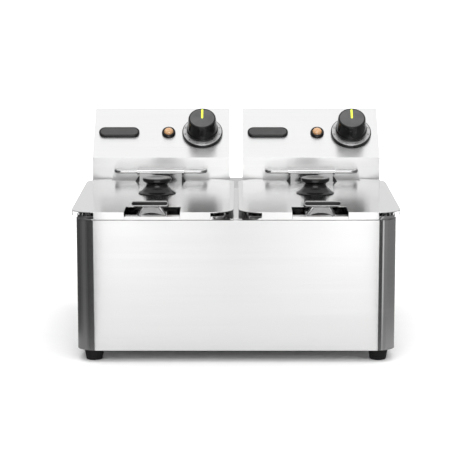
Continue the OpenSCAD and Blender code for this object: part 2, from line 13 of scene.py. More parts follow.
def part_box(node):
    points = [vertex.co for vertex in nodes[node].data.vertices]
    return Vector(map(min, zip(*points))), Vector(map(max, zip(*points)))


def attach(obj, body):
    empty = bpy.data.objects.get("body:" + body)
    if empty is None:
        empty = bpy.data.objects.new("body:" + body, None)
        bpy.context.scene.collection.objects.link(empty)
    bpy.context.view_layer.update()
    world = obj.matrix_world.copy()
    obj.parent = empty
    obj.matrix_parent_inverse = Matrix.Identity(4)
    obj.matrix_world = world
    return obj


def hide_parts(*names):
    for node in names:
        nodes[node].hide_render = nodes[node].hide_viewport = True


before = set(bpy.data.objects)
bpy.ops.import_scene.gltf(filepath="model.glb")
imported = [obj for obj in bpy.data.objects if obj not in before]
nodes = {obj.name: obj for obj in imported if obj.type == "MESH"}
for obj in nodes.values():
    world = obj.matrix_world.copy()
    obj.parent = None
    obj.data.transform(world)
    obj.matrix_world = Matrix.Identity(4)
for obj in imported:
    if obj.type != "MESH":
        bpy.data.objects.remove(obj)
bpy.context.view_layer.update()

MM = 0.001
SIDES = ("left", "right")

# ---------------------------------------------------------------- places taken from the CAD

body_low, body_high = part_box("body_shell")
FRONT_Y = body_low.y
HALF_W = body_high.x
CORNER_R = 24 * MM


def centre_of(node):
    low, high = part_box(node)
    return (low + high) / 2


def body_name(part, side):
    return f"{part}_{side}_body"


# The sloping panel's own axes: across it, up it, and out of it. LEAN is its angle above level
KNOB_SHAFT = {side: centre_of(f"knob_shaft_{side}") for side in SIDES}
SHAFT_IN, SHAFT_OUT = -20, 27.2  # the shaft's ends in millimetres, from the panel's face
LEAN = math.radians(90 - 50.528)
PANEL_X = Vector((1, 0, 0))
PANEL_UP = Vector((0, math.cos(LEAN), math.sin(LEAN)))
PANEL_OUT = Vector((0, -math.sin(LEAN), math.cos(LEAN)))


def panel_frame(side, x, up=0.0):
    """Axes on the face of the sloping panel, at a place measured from the knob's own centre."""
    middle_of_shaft = (SHAFT_IN + SHAFT_OUT) / 2 * MM
    foot = KNOB_SHAFT[side] - PANEL_OUT * middle_of_shaft + PANEL_X * x + PANEL_UP * up
    turn = Matrix((PANEL_X, PANEL_UP, PANEL_OUT)).transposed().to_4x4()
    return Matrix.Translation(foot) @ turn


# ---------------------------------------------------------------- materials


class Nodes:
    """A material's node tree, with short calls for the nodes that repeat."""

    def __init__(self, name):
        self.material = bpy.data.materials.new(name)
        self.material.use_nodes = True
        self.tree = self.material.node_tree
        self.shader = self.tree.nodes["Principled BSDF"]

    def add(self, kind, **settings):
        made = self.tree.nodes.new(kind)
        for key, value in settings.items():
            setattr(made, key, value)
        return made

    def join(self, source, target):
        self.tree.links.new(source, target)

    def put(self, value, socket):
        """A number, a vector or another socket goes into a socket."""
        if isinstance(value, bpy.types.NodeSocket):
            self.join(value, socket)
        else:
            socket.default_value = value

    def math(self, operation, a, b=None):
        made = self.add("ShaderNodeMath", operation=operation)
        self.put(a, made.inputs[0])
        if b is not None:
            self.put(b, made.inputs[1])
        return made.outputs[0]

    def vector(self, operation, a, b=None):
        made = self.add("ShaderNodeVectorMath", operation=operation)
        self.put(a, made.inputs[0])
        if b is not None:
            self.put(b, made.inputs[1])
        return made.outputs[0]

    def span(self, value, low, high, from_low=0.0, from_high=1.0):
        """value, carried from the range from_low..from_high to low..high and held inside it."""
        made = self.add("ShaderNodeMapRange")
        for socket, number in zip(made.inputs[:5], (value, from_low, from_high, low, high)):
            self.put(number, socket)
        return made.outputs[0]

    def place(self, kind="Object"):
        return self.add("ShaderNodeTexCoord").outputs[kind]

    def noise(self, vector, scale, detail=3.0, roughness=0.55):
        made = self.add("ShaderNodeTexNoise")
        self.put(vector, made.inputs["Vector"])
        self.put(scale, made.inputs["Scale"])
        self.put(detail, made.inputs["Detail"])
        self.put(roughness, made.inputs["Roughness"])
        return made.outputs[0]

    def mix(self, share, a, b):
        made = self.add("ShaderNodeMix", data_type="RGBA")
        self.put(share, made.inputs[0])
        self.put((*a, 1.0) if isinstance(a, tuple) else a, made.inputs[6])
        self.put((*b, 1.0) if isinstance(b, tuple) else b, made.inputs[7])
        return made.outputs[2]

    def bump(self, height, distance, strength=1.0):
        made = self.add("ShaderNodeBump")
        self.put(strength, made.inputs["Strength"])
        self.put(distance, made.inputs["Distance"])
        self.join(height, made.inputs["Height"])
        self.join(made.outputs[0], self.shader.inputs["Normal"])

    def set(self, **values):
        for key, value in values.items():
            self.put(value, self.shader.inputs[key.replace("_", " ")])


def grey(level):
    return (level, level, level)


def metal(name, light, dark, rough, spread=0.0, fine=900.0, streaks=1.0, bump=0.000012, warm=0.0,
          smears=0.04):
    """Rolled and brushed sheet. The grain runs across, or along the depth on faces that look sideways.

    light and dark are the streaks' tones, spread is how far the grain draws reflections out, fine is
    how close the grain lies, and smears is how uneven the roughness is.
    """
    m = Nodes(name)
    place = m.place()
    normal = m.place("Normal")
    up = m.add("ShaderNodeSeparateXYZ")
    m.join(normal, up.inputs[0])
    flat = m.span(m.math("ABSOLUTE", up.outputs[2]), 0.0, 1.0, 0.86, 0.97)
    stretch = m.add("ShaderNodeCombineXYZ")
    m.put(6.0, stretch.inputs[0])
    m.join(m.span(flat, 6.0, fine), stretch.inputs[1])
    m.join(m.span(flat, fine, 6.0), stretch.inputs[2])
    grain = m.noise(m.vector("MULTIPLY", place, stretch.outputs[0]), 1.0, 4.0, 0.65)
    band_stretch = m.vector("MULTIPLY", stretch.outputs[0], (0.4, 0.14, 0.14))
    bands = m.noise(m.vector("MULTIPLY", place, band_stretch), 1.0, 2.0)
    clouds = m.noise(place, 14.0, 3.0)
    tone = m.span(m.math("ADD", m.math("MULTIPLY", grain, 0.6), m.math("MULTIPLY", bands, 0.4)),
                  0.5 - 0.5 * streaks, 0.5 + 0.5 * streaks, 0.3, 0.7)
    low = (dark + warm, dark, dark - warm)
    high = (light + warm, light, light - warm)
    m.set(Base_Color=m.mix(tone, low, high), Metallic=1.0)
    wear = m.math("ADD", m.math("MULTIPLY", grain, 0.06), m.math("MULTIPLY", clouds, smears))
    m.set(Roughness=m.math("ADD", wear, rough - 0.03 - smears / 2))
    if spread:
        m.set(Anisotropic=spread)
        geometry = m.add("ShaderNodeNewGeometry")
        along = m.vector("CROSS_PRODUCT", geometry.outputs["Normal"], (1.0, 0.0, 0.0))
        m.join(m.vector("NORMALIZE", m.vector("ADD", along, (0.0, 0.0, 0.02))),
               m.shader.inputs["Tangent"])
    m.bump(grain, bump)
    return m.material


def moulded(name, dark, light, rough, bump=0.00003, specular=0.5):
    """Moulded plastic or rubber: a faint flow marbling and a fine pebble."""
    m = Nodes(name)
    place = m.place()
    flow = m.noise(m.vector("MULTIPLY", place, (1.0, 1.0, 2.5)), 45.0, 4.0)
    pebbles = m.noise(place, 2600.0, 2.0, 0.5)
    dust = m.noise(place, 160.0, 5.0, 0.7)
    marbling = m.span(m.math("ADD", flow, m.math("MULTIPLY", dust, 0.5)), 0.0, 1.0, 0.5, 1.1)
    m.set(Base_Color=m.mix(marbling, dark, light))
    m.set(Roughness=m.math("ADD", m.math("MULTIPLY", m.math("ADD", flow, pebbles), 0.08), rough - 0.08))
    m.shader.inputs["Specular IOR Level"].default_value = specular
    m.bump(m.math("ADD", pebbles, m.math("MULTIPLY", flow, 0.6)), bump)
    return m.material


def turned(name, colour, rough):
    """A turned face: fine rings around the piece, from its own radius in the UV map."""
    m = Nodes(name)
    uv = m.add("ShaderNodeSeparateXYZ")
    m.join(m.place("UV"), uv.inputs[0])
    radius = m.add("ShaderNodeCombineXYZ")
    m.join(m.math("MULTIPLY", uv.outputs[1], 5200.0), radius.inputs[0])
    m.join(m.math("MULTIPLY", uv.outputs[0], 6.0), radius.inputs[1])
    rings = m.noise(radius.outputs[0], 1.0, 3.0, 0.6)
    m.set(Base_Color=m.mix(m.span(rings, 0.0, 1.0, 0.3, 0.7),
                           tuple(c * 0.86 for c in colour), colour), Metallic=1.0)
    m.set(Roughness=m.math("ADD", m.math("MULTIPLY", rings, 0.16), rough - 0.08))
    m.set(Anisotropic=0.85, Anisotropic_Rotation=0.25)
    around = m.add("ShaderNodeTangent", direction_type="UV_MAP")
    m.join(around.outputs[0], m.shader.inputs["Tangent"])
    m.bump(rings, 0.00001)
    return m.material


def lens(name):
    """Amber lens in patches of a paler and a deeper amber, with fine prisms moulded in its back."""
    m = Nodes(name)
    place = m.place()
    prisms = m.add("ShaderNodeTexVoronoi")
    m.join(place, prisms.inputs["Vector"])
    prisms.inputs["Scale"].default_value = 850.0
    cloud = m.noise(place, 120.0, 2.0)
    m.set(Base_Color=m.mix(m.span(m.math("ADD", prisms.outputs[0], cloud), 0.0, 1.0, 0.4, 1.4),
                           (0.62, 0.40, 0.21), (0.46, 0.25, 0.12)))
    m.set(Roughness=m.math("ADD", m.math("MULTIPLY", cloud, 0.08), 0.06))
    m.shader.inputs["Coat Weight"].default_value = 0.6
    m.shader.inputs["Subsurface Weight"].default_value = 0.25
    m.shader.inputs["Subsurface Radius"].default_value = (0.004, 0.002, 0.001)
    m.bump(prisms.outputs[0], 0.00002)
    return m.material


def print_ink(name, colour):
    """Pad-printed ink or a pressed-in paint line, a little uneven."""
    m = Nodes(name)
    patches = m.noise(m.place(), 900.0, 3.0)
    m.set(Base_Color=m.mix(m.span(patches, 0.0, 1.0, 0.35, 0.65),
                           tuple(c * 0.9 for c in colour), colour))
    m.set(Roughness=m.math("ADD", m.math("MULTIPLY", patches, 0.15), 0.38))
    m.bump(patches, 0.00001)
    return m.material


def heated(name):
    """Sheath of the heating element: annealed steel, straw and blue-grey in patches."""
    m = Nodes(name)
    place = m.place()
    patches = m.noise(place, 28.0, 4.0)
    scale_marks = m.noise(place, 900.0, 4.0, 0.7)
    tint = m.mix(m.span(patches, 0.0, 1.0, 0.35, 0.65), (0.30, 0.27, 0.22), (0.22, 0.23, 0.26))
    m.set(Base_Color=m.mix(m.span(scale_marks, 0.0, 0.5, 0.4, 0.7), tint, (0.12, 0.11, 0.11)),
          Metallic=1.0)
    m.set(Roughness=m.math("ADD", m.math("MULTIPLY", patches, 0.2), 0.32))
    m.bump(scale_marks, 0.00003)
    return m.material


M = {
    "housing_steel": metal("housing_steel", 0.62, 0.56, 0.17, spread=0.95, streaks=0.8),
    "head_steel": metal("head_steel", 0.80, 0.75, 0.29, spread=0.85, streaks=0.7, bump=0.000006),
    "cover_steel": metal("cover_steel", 0.58, 0.50, 0.32, spread=0.6),
    "lid_steel": metal("lid_steel", 0.63, 0.59, 0.14, spread=0.7, streaks=0.6, bump=0.000006),
    "tank_steel": metal("tank_steel", 0.62, 0.56, 0.17, spread=0.3, fine=500.0, streaks=0.6),
    "bright_steel": metal("bright_steel", 0.52, 0.47, 0.08, fine=1500.0, bump=0.000004, smears=0.02),
    "basket_wire": metal("basket_wire", 0.70, 0.62, 0.2, fine=1200.0, bump=0.00001),
    "screw_steel": metal("screw_steel", 0.62, 0.52, 0.24, fine=2000.0),
    "element_steel": heated("element_steel"),
    "bulb_metal": metal("bulb_metal", 0.66, 0.58, 0.25, fine=1500.0, warm=0.03),
    "shaft_brass": turned("shaft_brass", (0.72, 0.53, 0.25), 0.28),
    "dial_silver": turned("dial_silver", (0.66, 0.66, 0.66), 0.4),
    "black_gloss": moulded("black_gloss", grey(0.004), grey(0.008), 0.16, bump=0.000006, specular=0.32),
    "knob_face": moulded("knob_face", grey(0.05), grey(0.085), 0.5, bump=0.00003),
    "black_matte": moulded("black_matte", grey(0.008), grey(0.018), 0.42, specular=0.4),
    "badge_black": moulded("badge_black", grey(0.03), grey(0.045), 0.34),
    "lamp_amber": lens("lamp_amber"),
    "control_body": moulded("control_body", (0.42, 0.31, 0.19), (0.55, 0.43, 0.29), 0.6),
    "reset_red": moulded("reset_red", (0.42, 0.02, 0.015), (0.55, 0.035, 0.025), 0.35),
    "foot_rubber": moulded("foot_rubber", grey(0.004), grey(0.009), 0.62, bump=0.00008, specular=0.2),
    "pointer_paint": print_ink("pointer_paint", (0.80, 0.93, 0.06)),
    "ink": print_ink("ink", grey(0.03)),
}

# ---------------------------------------------------------------- mesh helpers


def add_piece(name, verts, faces, material, body, smooth=30.0, uvs=None, replaces=()):
    """A mesh in the CAD's frame that rides on a body. uvs holds one pair for each vertex."""
    mesh = bpy.data.meshes.new(name)
    mesh.from_pydata([tuple(v) for v in verts], [], faces)
    mesh.materials.append(M[material])
    if uvs:
        layer = mesh.uv_layers.new(name="UVMap")
        for loop in mesh.loops:
            layer.data[loop.index].uv = uvs[loop.vertex_index]
    mesh.update()
    obj = bpy.data.objects.new(name, mesh)
    bpy.context.scene.collection.objects.link(obj)
    tidy_mesh(mesh, smooth)
    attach(obj, body)
    if replaces:
        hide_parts(*replaces)


def tidy_mesh(mesh, smooth):
    """Outward normals, smooth faces, and sharp edges only where the surface really turns."""
    bm = bmesh.new()
    bm.from_mesh(mesh)
    bmesh.ops.recalc_face_normals(bm, faces=bm.faces)
    limit = math.radians(smooth)
    for face in bm.faces:
        face.smooth = True
    for edge in bm.edges:
        edge.smooth = len(edge.link_faces) == 2 and edge.calc_face_angle(0.0) < limit
    bm.to_mesh(mesh)
    bm.free()


def rounded(points, radii, steps=5):
    """A polygon's outline with its corners rounded, by one radius or by one for each corner."""
    made = []
    count = len(points)
    for i, here in enumerate(points):
        here = Vector(here)
        before, after = Vector(points[i - 1]), Vector(points[(i + 1) % count])
        radius = radii[i] if not isinstance(radii, (int, float)) else radii
        a, b = (before - here), (after - here)
        if radius <= 0 or a.length < 1e-9 or b.length < 1e-9:
            made.append(here)
            continue
        angle = a.angle(b)
        if angle > math.pi - 0.02:
            made.append(here)
            continue
        cut = min(radius / math.tan(angle / 2), 0.49 * a.length, 0.49 * b.length)
        start, end = here + a.normalized() * cut, here + b.normalized() * cut
        for k in range(steps + 1):
            t = k / steps
            made.append(start.lerp(here, t).lerp(here.lerp(end, t), t))
    return made


def lathe(profile, place, segments=96):
    """Turns a closed outline of (radius, height) around +Z of a frame.

    Each point on the axis becomes one vertex.
    """
    verts, uvs, rings = [], [], []
    length = 0.0
    for i, p in enumerate(profile):
        if i:
            length += (Vector(p) - Vector(profile[i - 1])).length
        radius, height = p
        if radius < 1e-7:
            rings.append([len(verts)])
            verts.append(place @ Vector((0, 0, height)))
            uvs.append((0.5, length))
            continue
        rings.append(list(range(len(verts), len(verts) + segments)))
        for k in range(segments):
            a = 2 * math.pi * k / segments
            verts.append(place @ Vector((radius * math.cos(a), radius * math.sin(a), height)))
            uvs.append((k / segments, length))
    faces = []
    for a, b in zip(rings, rings[1:] + rings[:1]):
        if len(a) == 1 and len(b) == 1:
            continue
        for k in range(segments):
            n = (k + 1) % segments
            if len(a) == 1:
                faces.append((a[0], b[k], b[n]))
            elif len(b) == 1:
                faces.append((a[k], b[0], a[n]))
            else:
                faces.append((a[k], b[k], b[n], a[n]))
    return verts, faces, uvs


def tube(points, radius, sides=6, closed=False):
    """A wire along a line of points, with flat ends where it is open."""
    verts, faces, rings = [], [], []
    count = len(points)
    points = [Vector(p) for p in points]
    normal = None
    for i, p in enumerate(points):
        before = points[i - 1] if i or closed else p
        after = points[(i + 1) % count] if i < count - 1 or closed else p
        forward = (after - before).normalized()
        if normal is None:
            normal = forward.orthogonal().normalized()
        normal = (normal - forward * normal.dot(forward)).normalized()
        other = forward.cross(normal)
        rings.append(list(range(len(verts), len(verts) + sides)))
        for k in range(sides):
            a = 2 * math.pi * k / sides
            verts.append(p + (normal * math.cos(a) + other * math.sin(a)) * radius)
    for i in range(count if closed else count - 1):
        a, b = rings[i], rings[(i + 1) % count]
        shift = 0
        if closed and i == count - 1:
            shift = min(range(sides), key=lambda s: (verts[a[0]] - verts[b[s]]).length)
        for k in range(sides):
            n = (k + 1) % sides
            faces.append((a[k], b[(k + shift) % sides], b[(n + shift) % sides], a[n]))
    if not closed:
        faces.append(tuple(reversed(rings[0])))
        faces.append(tuple(rings[-1]))
    return verts, faces


def merged(parts):
    """Several (verts, faces) or (verts, faces, uvs) as one."""
    verts, faces, uvs = [], [], []
    for part in parts:
        base = len(verts)
        verts += list(part[0])
        faces += [tuple(i + base for i in f) for f in part[1]]
        uvs += list(part[2]) if len(part) > 2 else [(0.0, 0.0)] * len(part[0])
    return verts, faces, uvs


def capsule_outline(width, height, steps=20):
    """A stadium, anticlockwise, centred on the origin."""
    half, r = (width - height) / 2, height / 2
    points = []
    for sign, start in ((1, -math.pi / 2), (-1, math.pi / 2)):
        for k in range(steps + 1):
            a = start + math.pi * k / steps
            points.append(Vector((sign * half + r * math.cos(a), r * math.sin(a))))
    return points


def pillow(size, layers, place):
    """A stadium built up in layers of (inset, height above the frame's origin), all in millimetres."""
    width, height = size
    verts, faces, rings = [], [], []
    for inset, z in layers:
        ring = []
        for p in capsule_outline(width * MM - 2 * (inset * MM), height * MM - 2 * (inset * MM)):
            ring.append(len(verts))
            verts.append(place @ Vector((p.x, p.y, z * MM)))
        rings.append(ring)
    for a, b in zip(rings, rings[1:]):
        for k in range(len(a)):
            n = (k + 1) % len(a)
            faces.append((a[k], a[n], b[n], b[k]))
    faces.append(tuple(reversed(rings[0])))
    faces.append(tuple(rings[-1]))
    return verts, faces


# ---------------------------------------------------------------- CAD nodes that stay


def finish_node(name, material, bevel):
    """The CAD node with its material, and its sheared edges broken by a small bevel."""
    obj = nodes[name]
    obj.data.materials.clear()
    obj.data.materials.append(M[material])
    if bevel:
        weld = obj.modifiers.new("weld", "WELD")
        weld.merge_threshold = 0.00001
        flat = obj.modifiers.new("flat", "DECIMATE")
        flat.decimate_type = "DISSOLVE"
        flat.angle_limit = math.radians(0.4)
        edge = obj.modifiers.new("edge", "BEVEL")
        edge.width = bevel
        edge.segments = 2
        edge.limit_method = "ANGLE"
        edge.angle_limit = math.radians(38.0)
        edge.harden_normals = True
        edge.miter_outer = "MITER_ARC"


for node_name, finish, edge_size in (
    ("body_shell", "housing_steel", 0.0),
    ("back_panel", "cover_steel", 0.0003),
    ("base_plate", "cover_steel", 0.0),
    ("rear_deck", "cover_steel", 0.0003),
    ("centre_rail", "housing_steel", 0.0003),
):
    finish_node(node_name, finish, edge_size)
for side in SIDES:
    for node_name, finish, edge_size in (
        ("tank", "tank_steel", 0.0004),
        ("heating_element", "element_steel", 0.0),
        ("element_bridge", "cover_steel", 0.0005),
        ("element_guard", "tank_steel", 0.0003),
        ("sensor_bulbs", "bulb_metal", 0.0),
        ("head_shell", "head_steel", 0.0009),
        ("head_back", "cover_steel", 0.0003),
        ("hanging_bar", "bright_steel", 0.0),
        ("thermostats", "control_body", 0.0006),
        ("reset_button", "reset_red", 0.0004),
        ("knob_shaft", "shaft_brass", 0.0003),
        ("basket_frame", "basket_wire", 0.0),
        ("basket_bracket", "bright_steel", 0.0003),
        ("lid", "lid_steel", 0.00035),
        ("lid_bracket", "bright_steel", 0.0),
    ):
        finish_node(f"{node_name}_{side}", finish, edge_size)

# The bracket's faces at its two outer ends, low down beside each lid's hook, are coloured black
BRACKET_HALF = 31 * MM
BLACK_END_H = 6.6 * MM
for side in SIDES:
    bracket = nodes[f"lid_bracket_{side}"]
    low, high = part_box(f"lid_bracket_{side}")
    bracket.data.materials.append(M["black_matte"])
    for face in bracket.data.polygons:
        from_middle = abs(face.center.x - (low.x + high.x) / 2)
        if from_middle > BRACKET_HALF - 0.05 * MM and face.center.z < low.z + BLACK_END_H:
            face.material_index = 1

# ---------------------------------------------------------------- controls on the head's panel

# KNOB_H is in millimetres, like the outlines; the rest is in metres
KNOB_H, KNOB_LIFT = 27.5, 6.2 * MM
DIAL_H, RING_H = 4.6 * MM, 1.2 * MM
NUMBER_R, NUMBER_H = 25.9 * MM, 3.3 * MM
LAMP_X, LAMP_UP = -50 * MM, 1.0 * MM
BADGE_X, BADGE_UP = -123.2 * MM, 1.3 * MM
BADGE_SIZE = (60, 18.5)


def lathe_piece(name, outline, radii, place, material, body, replaces, segments=96):
    """A turned piece from an outline and its corner radii in millimetres."""
    profile = rounded([(r * MM, z * MM) for r, z in outline], [r * MM for r in radii])
    verts, faces, uvs = lathe(profile, place, segments)
    add_piece(name, verts, faces, material, body, uvs=uvs, replaces=replaces)


def number_mesh(text, size, place):
    """A number as a thin raised print, facing +Z of its frame and centred on it."""
    curve = bpy.data.curves.new("number", "FONT")
    curve.body = text
    curve.size = size
    curve.align_x, curve.align_y = "CENTER", "CENTER"
    curve.extrude = 0.00003
    curve.resolution_u = 3
    holder = bpy.data.objects.new("number", curve)
    bpy.context.scene.collection.objects.link(holder)
    bpy.context.view_layer.update()
    mesh = holder.evaluated_get(bpy.context.evaluated_depsgraph_get()).to_mesh()
    verts = [place @ v.co for v in mesh.vertices]
    faces = [tuple(p.vertices) for p in mesh.polygons]
    holder.to_mesh_clear()
    bpy.data.objects.remove(holder)
    bpy.data.curves.remove(curve)
    return verts, faces


def bar_mesh(width, length, height, place):
    """A small raised print: a rounded stroke, its long side along +Y of its frame."""
    verts = [place @ Vector((p.y, p.x, z)) for z in (0, height)
             for p in capsule_outline(length, width, 8)]
    half = len(verts) // 2
    faces = [(k, (k + 1) % half, half + (k + 1) % half, half + k) for k in range(half)]
    faces += [tuple(reversed(range(half))), tuple(range(half, 2 * half))]
    return verts, faces


for side in SIDES:
    head = body_name("head", side)
    knob = body_name("control_knob", side)
    dial = panel_frame(side, 0.0)
    lathe_piece(f"dial_skirt_{side}", [(5, 0.1), (30, 0.1), (29.8, 4.6), (5, 4.6)], [0, 0.3, 0.7, 0],
                dial, "black_gloss", head, [f"dial_base_{side}"])
    lathe_piece(f"dial_scale_{side}",
                [(19, 4.6), (28.6, 4.6), (28.4, 5.5), (27.9, 5.8), (19, 5.8)],
                [0, 0.05, 0.3, 0.4, 0.1], dial, "dial_silver", head,
                [f"dial_ring_{side}"], 128)
    top_z = DIAL_H + RING_H
    marks = []
    for k in range(10):
        turn = Matrix.Rotation(math.radians(-(45 + 30 * k)), 4, "Z")
        numeral = dial @ turn @ Matrix.Translation((0, NUMBER_R, top_z - 0.01 * MM))
        if 0 < k < 9:
            marks.append(number_mesh(str(40 + 20 * k), NUMBER_H, numeral))
        else:
            marks.append(bar_mesh(1.1 * MM, 3.0 * MM, 0.05 * MM, numeral))
    verts, faces, _ = merged(marks)
    add_piece(f"dial_numbers_{side}", verts, faces, "ink", head)

    outline = [(0, 0), (20.25, 0), (20.25, 2.8), (23.25, 2.8), (23.25, 5.0), (22.2, 6.4),
               (20.2, KNOB_H - 2), (19.6, KNOB_H - 0.4), (18.2, KNOB_H), (17.6, KNOB_H - 0.25),
               (0, KNOB_H - 0.25)]
    fillets = [0, 0.4, 0.2, 0.5, 0.9, 1.4, 1.6, 0.7, 0.4, 0.4, 0]
    knob_place = dial @ Matrix.Translation((0, 0, KNOB_LIFT))
    lathe_piece(f"knob_cap_{side}", outline, fillets, knob_place, "black_gloss", knob,
                [f"control_knob_{side}"], 128)
    face_z = KNOB_H * MM
    face_profile = rounded([(0, face_z - 0.24 * MM), (17.8 * MM, face_z - 0.24 * MM),
                            (17.8 * MM, face_z - 0.1 * MM), (0, face_z - 0.1 * MM)],
                           [0, 0.02 * MM, 0.08 * MM, 0])
    verts, faces, uvs = lathe(face_profile, knob_place, 96)
    add_piece(f"knob_face_{side}", verts, faces, "knob_face", knob, uvs=uvs)
    pointer = knob_place @ Matrix.Translation((0, 8.5 * MM, face_z - 0.2 * MM))
    verts, faces = bar_mesh(3.0 * MM, 18.6 * MM, 0.18 * MM, pointer)
    add_piece(f"knob_pointer_{side}", verts, faces, "pointer_paint", knob)

    lamp = panel_frame(side, LAMP_X, LAMP_UP)
    lathe_piece(f"lamp_ring_{side}",
                [(0, -20), (6, -20), (6, 0.05), (10.3, 0.05), (10.1, 2.6), (9.2, 4.6), (7.4, 4.6),
                 (7.0, 3.2), (0, 3.2)],
                [0, 0.5, 0, 0.2, 1.0, 1.0, 0.3, 0, 0], lamp, "black_gloss", head,
                [f"lamp_bezel_{side}"])
    dome = [(0, 8.2)] + [(7.0 * math.sin(a), 3.2 + 5.0 * math.cos(a) ** 0.9)
                         for a in [k * math.pi / 24 for k in range(1, 12)]] + [(7.0, 3.2), (0, 3.2)]
    verts, faces, uvs = lathe([(r * MM * 0.985, z * MM) for r, z in dome], lamp, 64)
    add_piece(f"lamp_dome_{side}", verts, faces, "lamp_amber", head, uvs=uvs,
              replaces=[f"lamp_lens_{side}"])

    badge = panel_frame(side, BADGE_X, BADGE_UP)
    verts, faces = pillow(BADGE_SIZE, (
        (0.2, 0.05), (0, 0.3), (0, 2.6), (0.15, 3.2), (0.7, 3.8), (1.5, 4.15), (2.1, 4.15), (2.3, 3.9),
        (2.6, 3.8)), badge)
    add_piece(f"badge_plate_{side}", verts, faces, "black_gloss", head,
              replaces=[f"badge_{side}"])
    verts, faces = pillow(BADGE_SIZE, ((2.45, 3.7), (2.45, 3.85), (2.6, 3.95), (2.9, 3.95)), badge)
    add_piece(f"badge_face_{side}", verts, faces, "badge_black", head)

# ---------------------------------------------------------------- lid knob and basket grip

GRIP_W, GRIP_T = 46.5, 6.5
GRIP_SLOPE = math.radians(12)
GRIP_START_Y = FRONT_Y - 14 * MM

for side in SIDES:
    low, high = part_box(f"lid_knob_{side}")
    seat = Matrix.Translation(((low.x + high.x) / 2, (low.y + high.y) / 2, low.z))
    outline = [(0, 0.02), (25.8, 0.02), (26.2, 0.4), (26.2, 1.1), (22.0, 3.4), (16.4, 9.0),
               (14.2, 13.6), (19.6, 17.2), (20.4, 20.6), (19.0, 22), (13.5, 22), (8, 21.3), (0, 21.0)]
    fillets = [0, 0.2, 0.2, 0.5, 3.5, 6.0, 5.0, 2.2, 1.4, 1.2, 2.0, 2.0, 0]
    lathe_piece(f"lid_handle_{side}", outline, fillets, seat, "black_gloss", body_name("lid", side),
                [f"lid_knob_{side}"], 128)

    grip_low, grip_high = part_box(f"basket_grip_{side}")
    back = Vector(((grip_low.x + grip_high.x) / 2, GRIP_START_Y, 0))
    back.z = grip_low.z + (GRIP_T / 2) * MM * math.cos(GRIP_SLOPE)
    forward = Vector((0, -math.cos(GRIP_SLOPE), math.sin(GRIP_SLOPE)))
    upward = Vector((0, math.sin(GRIP_SLOPE), math.cos(GRIP_SLOPE)))
    turn = Matrix((Vector((1, 0, 0)), upward, forward)).transposed().to_4x4()
    grip = Matrix.Translation(back) @ turn
    grip_rise = grip_high.z - grip_low.z - GRIP_T * MM * math.cos(GRIP_SLOPE)
    end = grip_rise / math.sin(GRIP_SLOPE) / MM
    layers = [(0.9, 0.0), (0.35, 0.15), (0.08, 0.5), (0.0, 1.0), (0.0, 6.0), (0.18, 9.0), (0.22, 14.0),
              (0.18, 22.0), (0.0, 30.0), (0.02, end - 3.0), (0.6, end - 2.0), (1.0, end - 0.9),
              (1.5, end - 0.7)]
    verts, faces = pillow((GRIP_W, GRIP_T), layers, grip)
    add_piece(f"grip_sleeve_{side}", verts, faces, "black_gloss", body_name("basket", side),
              replaces=[f"basket_grip_{side}"])
    rim_layers = [(-0.02, end - 3.4), (-0.06, end - 3.2), (-0.06, end - 0.9), (0.12, end - 0.35),
                  (0.4, end - 0.05), (0.62, end - 0.05), (0.8, end - 0.2), (0.85, end - 0.5)]
    verts, faces = pillow((GRIP_W, GRIP_T), rim_layers, grip)
    without_ends = faces[:-2]
    add_piece(f"grip_rim_{side}", verts, without_ends, "screw_steel", body_name("basket", side))

# ---------------------------------------------------------------- basket wires

WIRE_R = 0.6 * MM
PITCH = 6.6 * MM
WALL_INSET = 1.7 * MM
CLEAR_OF_CORNER = 3 * MM
# The wires that run across lie this much over the ones that run along, and hoops this much outside
CROSSING = 1.0 * MM
HOOP_OUT = 1.05 * MM


